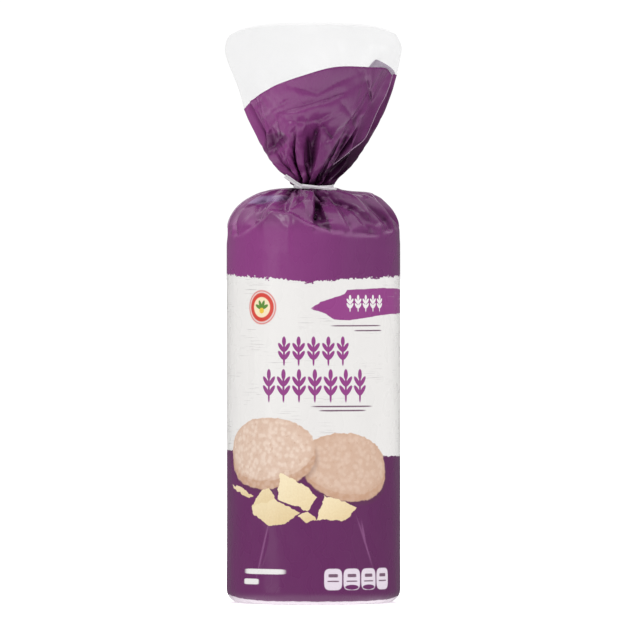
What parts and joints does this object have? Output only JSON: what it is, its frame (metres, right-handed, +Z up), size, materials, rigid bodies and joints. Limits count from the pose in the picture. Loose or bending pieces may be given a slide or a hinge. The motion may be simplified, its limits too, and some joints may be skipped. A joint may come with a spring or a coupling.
{
  "type": "bag of puffed rice cakes",
  "caption": "Tied plastic film bag round a stack of puffed rice cakes, with a pleated shoulder, a neck gathered by a twist tie and an open frill above it.",
  "frame": {"origin": "middle of the flat base that the bag stands on", "axes": "+Z up along the stack, -Y towards the printed front, +X to the right as the front is seen"},
  "size_m": [0.0952, 0.093, 0.3097],
  "materials": {
    "printed_film": "printed and clear polyethylene film, soft gloss",
    "tie_ribbon": "white plastic ribbon with a wire in it"
  },
  "bodies": {
    "root": {"film_bag": "printed_film", "twist_tie": "tie_ribbon"}
  },
  "joints": []
}
